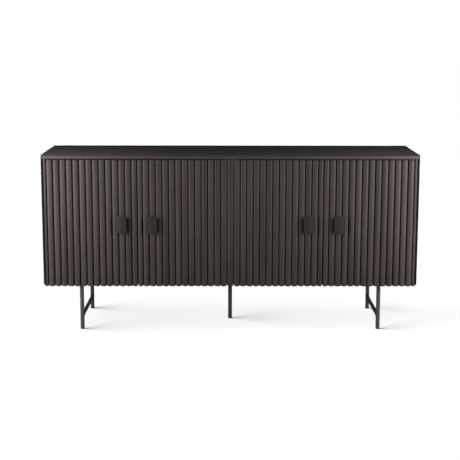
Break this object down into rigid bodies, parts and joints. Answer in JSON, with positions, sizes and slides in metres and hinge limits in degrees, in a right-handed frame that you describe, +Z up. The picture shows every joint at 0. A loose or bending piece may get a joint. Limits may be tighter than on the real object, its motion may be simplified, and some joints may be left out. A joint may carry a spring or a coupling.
{
  "type": "sideboard buffet",
  "caption": "Long low sideboard with reeded wooden doors, rough cast pull plates, a thin black top, bevelled sides and a slim round-tube metal base.",
  "frame": {"origin": "on the floor, at the middle of the object's bounding box", "axes": "+X to the right seen from the front, along the length; +Y towards the back, so the doors face -Y; +Z up"},
  "size_m": [1.83, 0.529, 0.86],
  "materials": {
    "black_top": "black satin, faint grain",
    "espresso_wood": "very dark brown stain, satin, fine upright grain",
    "lining_board": "dark matt veneer",
    "bronzed_steel": "dark bronze, satin",
    "hammered_iron": "rough, mottled, blackened",
    "zinc_steel": "zinc plated",
    "black_nylon": "matt"
  },
  "bodies": {
    "carcass": {"top_panel": "black_top", "bottom_panel": "espresso_wood", "side_panel_left": "espresso_wood", "side_panel_right": "espresso_wood", "back_panel": "lining_board", "centre_partition": "espresso_wood", "centre_post": "espresso_wood", "shelf_left": "lining_board", "shelf_right": "lining_board", "shelf_cleat_left_inner": "espresso_wood", "shelf_cleat_left_outer": "espresso_wood", "shelf_cleat_right_inner": "espresso_wood", "shelf_cleat_right_outer": "espresso_wood", "pivot_bush_1": "black_nylon", "pivot_bush_2": "black_nylon", "pivot_bush_3": "black_nylon", "pivot_bush_4": "black_nylon", "pivot_bracket_left": "zinc_steel", "pivot_bracket_centre": "zinc_steel", "pivot_bracket_right": "zinc_steel", "magnetic_catch_left": "black_nylon", "magnetic_catch_right": "black_nylon", "leg_front_left": "bronzed_steel", "leg_rear_left": "bronzed_steel", "leg_front_right": "bronzed_steel", "leg_rear_right": "bronzed_steel", "leg_centre": "bronzed_steel", "mounting_bar_left": "bronzed_steel", "stretcher_left": "bronzed_steel", "mounting_bar_right": "bronzed_steel", "stretcher_right": "bronzed_steel", "glide_front_left": "black_nylon", "glide_rear_left": "black_nylon", "glide_front_right": "black_nylon", "glide_rear_right": "black_nylon", "glide_centre": "black_nylon"},
    "door_1": {"door_slats_1": "espresso_wood", "door_panel_1": "espresso_wood", "handle_1": "hammered_iron", "pivot_pin_top_1": "zinc_steel", "pivot_pin_bottom_1": "zinc_steel", "strike_plate_1": "zinc_steel"},
    "door_2": {"door_slats_2": "espresso_wood", "door_panel_2": "espresso_wood", "handle_2": "hammered_iron", "pivot_pin_top_2": "zinc_steel", "pivot_pin_bottom_2": "zinc_steel", "strike_plate_2": "zinc_steel"},
    "door_3": {"door_slats_3": "espresso_wood", "door_panel_3": "espresso_wood", "handle_3": "hammered_iron", "pivot_pin_top_3": "zinc_steel", "pivot_pin_bottom_3": "zinc_steel", "strike_plate_3": "zinc_steel"},
    "door_4": {"door_slats_4": "espresso_wood", "door_panel_4": "espresso_wood", "handle_4": "hammered_iron", "pivot_pin_top_4": "zinc_steel", "pivot_pin_bottom_4": "zinc_steel", "strike_plate_4": "zinc_steel"}
  },
  "joints": [
    {"name": "door_1_hinge", "type": "hinge", "parent": "carcass", "child": "door_1", "pos_m": [-0.871, -0.2385, 0.223], "axis": [0, 0, -1], "range_deg": [0, 105]},
    {"name": "door_2_hinge", "type": "hinge", "parent": "carcass", "child": "door_2", "pos_m": [-0.02775, -0.2385, 0.223], "axis": [0, 0, 1], "range_deg": [0, 90]},
    {"name": "door_3_hinge", "type": "hinge", "parent": "carcass", "child": "door_3", "pos_m": [0.02775, -0.2385, 0.223], "axis": [0, 0, -1], "range_deg": [0, 90]},
    {"name": "door_4_hinge", "type": "hinge", "parent": "carcass", "child": "door_4", "pos_m": [0.871, -0.2385, 0.223], "axis": [0, 0, 1], "range_deg": [0, 105]}
  ]
}
